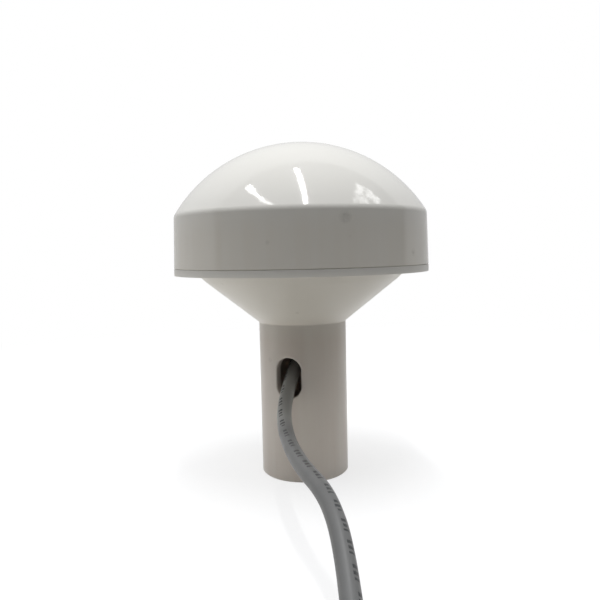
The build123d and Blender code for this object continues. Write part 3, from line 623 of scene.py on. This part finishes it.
shell_gloss = moulded_plastic(
    "shell_gloss",
    SHELL,
    SHELL_DARK,
    gloss=0.05,
    grain=0.03,
    streaks=BAND_STREAKS,
    smudges=BAND_SMUDGES,
)
shell_satin = moulded_plastic(
    "shell_satin",
    SHELL,
    SHELL_DARK,
    gloss=0.3,
    grain=0.1,
    streaks=STEM_STREAKS,
    smudges=STEM_SMUDGES,
    glow=0.25,
)
black_rubber = rubber("black_rubber")
stainless = metal("stainless", colour(196, 195, 192), 0.28, colour(170, 168, 162), brushed=(1, 1, 14))
board_green = circuit_board("board_green")
tinned = metal("tinned", colour(204, 204, 200), 0.34, colour(176, 174, 166), brushed=(12, 1, 1))
gold = metal("gold", colour(226, 188, 112), 0.25, colour(204, 160, 88))
nickel = metal("nickel", colour(198, 194, 186), 0.22, colour(170, 164, 152), brushed=(1, 1, 6))
cell_steel = metal("cell_steel", colour(200, 199, 196), 0.3, colour(182, 180, 174))
epoxy = chip_epoxy("epoxy")

LEAD_LENGTH = 0.75 * MM
driver_low, driver_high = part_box("line_driver")
driver_middle = (driver_low[0] + driver_high[0]) / 2
driver_reach = (driver_high[0] - driver_low[0]) / 2 - LEAD_LENGTH

CAN_RADIUS = 3.15 * MM
can_low, can_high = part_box("capacitors")
can_middles = [
    (can_low[0] + CAN_RADIUS, can_low[1] + CAN_RADIUS),
    (can_high[0] - CAN_RADIUS, can_high[1] - CAN_RADIUS),
]

WIRE_ROW_START = -2.5 * MM
WIRE_PITCH = 2.0 * MM
WIRE_SHADES = [
    colour(150, 40, 36),
    colour(40, 40, 42),
    colour(206, 186, 60),
    colour(56, 128, 70),
    colour(48, 84, 160),
    colour(222, 220, 214),
]

LOOKS = {
    "radome": shell_gloss,
    "base_housing": shell_satin,
    "rim_seal": black_rubber,
    "screw_washers": black_rubber,
    "cable_grommet": black_rubber,
    "patch_pad": black_rubber,
    "plug_seal": black_rubber,
    "housing_screws": stainless,
    "board_screws": stainless,
    "main_board": board_green,
    "module_board": board_green,
    "ceramic_patch": ceramic("fired_ceramic"),
    "patch_electrode": printed_silver("printed_silver"),
    "feed_pin": gold,
    "contacts": gold,
    "plug_pins": gold,
    "module_can": tinned,
    "shield_frame": tinned,
    "shield_can": tinned,
    "cell_strap": tinned,
    "backup_cell": cell_steel,
    "amplifier_chips": epoxy,
    "power_inductor": epoxy,
    "line_driver": chip_epoxy("driver_epoxy", (driver_middle, driver_reach)),
    "capacitors": canned_capacitor("capacitor_cans", can_middles, CAN_RADIUS),
    "board_header": nylon("header_nylon", colour(228, 224, 208), colour(216, 210, 190)),
    "wire_plug": nylon("plug_nylon", colour(232, 230, 220), colour(220, 216, 202)),
    "inner_tie": nylon("tie_nylon", colour(226, 225, 220), colour(212, 210, 204)),
    "signal_wires": wire_colours("wire_insulation", WIRE_ROW_START, WIRE_PITCH, WIRE_SHADES),
    "cable_end": cable_jacket("jacket_inside", printed=False),
    "plug_grip": plug_plastic("plug_grip"),
    "plug_insert": plug_plastic("plug_insert"),
    "coupling_nut": nickel,
}
for name, look in LOOKS.items():
    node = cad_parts[name]
    node.data.materials.clear()
    node.data.materials.append(look.material)

# ---- Floor, room and lights ------------------------------------------------------------------------

# Gloss mirrors a pale room behind the object and a dim one on the camera's side of it
DIM_SIDE = Vector((0.49, -0.78, 0.39)).normalized()
DIM_BORDER = (-0.02, 0.05)
PALE_LEVEL = 0.65
DIM_LEVEL = 0.1

# The window that only gloss mirrors: its side of the room, half its width and height, and the
# range of the noise that is turned into gaps between leaves
WINDOW_SIDE = Vector((0.66, 0.33, 1.0)).normalized()
WINDOW_REACH = (0.17, 0.13)
WINDOW_EDGE = 0.8
WINDOW_LEAVES = 16.0
WINDOW_GAPS = (0.42, 0.56)
WINDOW_GLOW = 5.0


class Surroundings:
    """A node tree for the floor or the room, with short calls for its nodes."""

    def __init__(self, tree):
        tree.nodes.clear()
        self.tree = tree
        self.path = tree.nodes.new("ShaderNodeLightPath").outputs

    def feed(self, socket, value):
        """Sets a socket to a constant, or links it to a node's output."""
        if isinstance(value, bpy.types.NodeSocket):
            self.tree.links.new(value, socket)
        else:
            socket.default_value = value

    def node(self, kind, *values, output=0, **settings):
        """A new node with its inputs fed in order, where None skips one; gives one output, if any."""
        made = self.tree.nodes.new("ShaderNode" + kind)
        for label, value in settings.items():
            setattr(made, label, value)
        for socket, value in zip(made.inputs, values):
            if value is not None:
                self.feed(socket, value)
        return made.outputs[output] if made.outputs else None

    def math(self, operation, *values):
        return self.node("Math", *values, operation=operation)

    def along(self, place, axis):
        """How far a place or direction lies along an axis."""
        return self.node("VectorMath", place, axis, operation="DOT_PRODUCT", output="Value")

    def ramp(self, value, ends, levels):
        """Takes a value between two ends onto two levels, and holds it there."""
        return self.node("MapRange", value, *ends, *levels)

    def seen(self):
        """1 for rays from the camera and for those mirrored or refracted, else 0."""
        mirrored = self.math("MAXIMUM", self.path["Is Glossy Ray"], self.path["Is Transmission Ray"])
        return self.math("MAXIMUM", self.path["Is Camera Ray"], mirrored)

    def white_level(self, towards):
        """White as it is seen: 1, or the level of the pale or dim side of the room for gloss."""
        direction = self.node("VectorMath", towards, operation="NORMALIZE")
        side = self.along(direction, DIM_SIDE)
        dimming = self.ramp(side, DIM_BORDER, (1.0 - PALE_LEVEL, 1.0 - DIM_LEVEL))
        return self.math("SUBTRACT", 1.0, self.math("MULTIPLY", dimming, self.path["Is Glossy Ray"]))

    def window(self, towards):
        """The mottled light of a window with trees outside, which only gloss mirrors."""
        across = Vector((0, 0, 1)).cross(WINDOW_SIDE).normalized()
        upwards = WINDOW_SIDE.cross(across)
        mask = self.path["Is Glossy Ray"]
        for axis, reach in zip((across, upwards), WINDOW_REACH):
            offset = self.math("ABSOLUTE", self.along(towards, axis))
            inside = self.ramp(offset, (reach, reach * WINDOW_EDGE), (0.0, 1.0))
            mask = self.math("MULTIPLY", mask, inside)
        ahead = self.math("GREATER_THAN", self.along(towards, WINDOW_SIDE), 0.0)
        clouds = self.node("TexNoise", towards, None, WINDOW_LEAVES, 3.0)
        leaves = self.ramp(clouds, WINDOW_GAPS, (0.0, WINDOW_GLOW))
        return self.math("MULTIPLY", self.math("MULTIPLY", mask, ahead), leaves)


FLOOR_SIZE = 8.0
FLOOR_WARMTH = (1.0, 0.95, 0.86)
TABLE_SHADES = (0.8, 0.0)
TABLE_MIDDLE = (-0.1, 0.12, 0.0)
TABLE_EDGE = (0.18, 0.36)
SHADOW_SHADE = (0.3, 0.3, 0.3, 1.0)
SHADOW_GLOW = 0.72
SHADOW_REACH = (0.2, 0.45)


def paper(name):
    """The floor: it lights the object as a table that ends near it, and is seen white, with a shadow."""
    material = bpy.data.materials.new(name)
    material.use_nodes = True
    shader = Surroundings(material.node_tree)
    place = shader.node("TexCoord", output="Object")
    distance = shader.node("VectorMath", place, TABLE_MIDDLE, operation="DISTANCE", output="Value")
    table = shader.ramp(distance, TABLE_EDGE, TABLE_SHADES)
    bounce = shader.node("BsdfDiffuse", shader.node("VectorMath", FLOOR_WARMTH, table, operation="MULTIPLY"))
    shade = shader.node("BsdfDiffuse", SHADOW_SHADE)
    shadowed = shader.node("AddShader", shade, shader.node("Emission", None, SHADOW_GLOW))
    far_white = shader.node("Emission", None, shader.white_level(place))
    from_middle = shader.node("VectorMath", place, operation="LENGTH", output="Value")
    fade = shader.ramp(from_middle, SHADOW_REACH, (0.0, 1.0))
    seen_floor = shader.node("MixShader", fade, shadowed, far_white)
    shader.node("OutputMaterial", shader.node("MixShader", shader.seen(), bounce, seen_floor))
    return material


bpy.ops.mesh.primitive_plane_add(size=FLOOR_SIZE)
floor = bpy.context.object
floor.name = "floor"
floor.data.materials.append(paper("paper"))

# Soft light on the object: where each lobe comes from, how strong it is and how narrow. They
# come from overhead, from above on the left, from the right, from the left and from behind.
ROOM_TINT = (0.975, 0.995, 1.03, 1.0)
ROOM_LOBES = [
    ((0.04, -0.08, 1.0), 3.66, 9.0),
    ((-0.85, -0.1, 0.6), 0.55, 4.0),
    ((0.94, 0.1, 0.3), 0.5, 7.0),
    ((-0.94, -0.34, 0.1), 0.34, 8.0),
    ((-0.34, 0.94, 0.3), 0.2, 2.0),
]


def room(name):
    """The room: white where it is seen, and soft lobes of light where it lights the object."""
    world = bpy.data.worlds.new(name)
    world.use_nodes = True
    shader = Surroundings(world.node_tree)
    towards = shader.node("TexCoord", output="Generated")
    strength = 0.0
    for axis, gain, narrowness in ROOM_LOBES:
        facing = shader.math("MAXIMUM", shader.along(towards, Vector(axis).normalized()), 0.0)
        lobe = shader.math("POWER", facing, narrowness)
        strength = shader.math("MULTIPLY_ADD", lobe, gain, strength)
    soft = shader.node("Background", ROOM_TINT, strength)
    white_room = shader.math("ADD", shader.white_level(towards), shader.window(towards))
    white = shader.node("Background", (1, 1, 1, 1), white_room)
    shader.node("OutputWorld", shader.node("MixShader", shader.seen(), soft, white))
    return world


bpy.context.scene.world = room("room")

# The dome mirrors a straight lamp, and to its left a bent one that narrows towards its end. Each
# lamp has the two ends of its middle line and its width. Brightness is in watts per square metre.
LAMP_HEIGHT = 1.1
STRAIGHT_LAMP = ((-0.10, 0.20), (0.24, -0.43), 0.042)
STRAIGHT_LAMP_BRIGHTNESS = 145.0
SIDE_LAMPS = [
    ((-0.525, -0.05), (-0.43, -0.215), 0.07),
    ((-0.43, -0.215), (-0.306, -0.369), 0.045),
    ((-0.306, -0.369), (-0.105, -0.48), 0.022),
]
SIDE_LAMP_BRIGHTNESS = 49.0


def strip_lamp(name, start, end, width, brightness):
    """A long narrow lamp overhead that shines straight down, between two points of its middle line."""
    start = Vector((*start, LAMP_HEIGHT))
    end = Vector((*end, LAMP_HEIGHT))
    run = end - start
    lamp_data = bpy.data.lights.new(name, "AREA")
    lamp_data.shape = "RECTANGLE"
    lamp_data.size = run.length
    lamp_data.size_y = width
    lamp_data.energy = brightness * run.length * width
    lamp = bpy.data.objects.new(name, lamp_data)
    bpy.context.scene.collection.objects.link(lamp)
    lamp.location = (start + end) / 2
    lamp.rotation_euler = (0, 0, math.atan2(run.y, run.x))


strip_lamp("strip_lamp", *STRAIGHT_LAMP, STRAIGHT_LAMP_BRIGHTNESS)
for number, side_lamp in enumerate(SIDE_LAMPS, 1):
    strip_lamp(f"side_lamp_{number}", *side_lamp, SIDE_LAMP_BRIGHTNESS)

# ---- Finish ----------------------------------------------------------------------------------------

bpy.context.scene.view_settings.view_transform = "Standard"
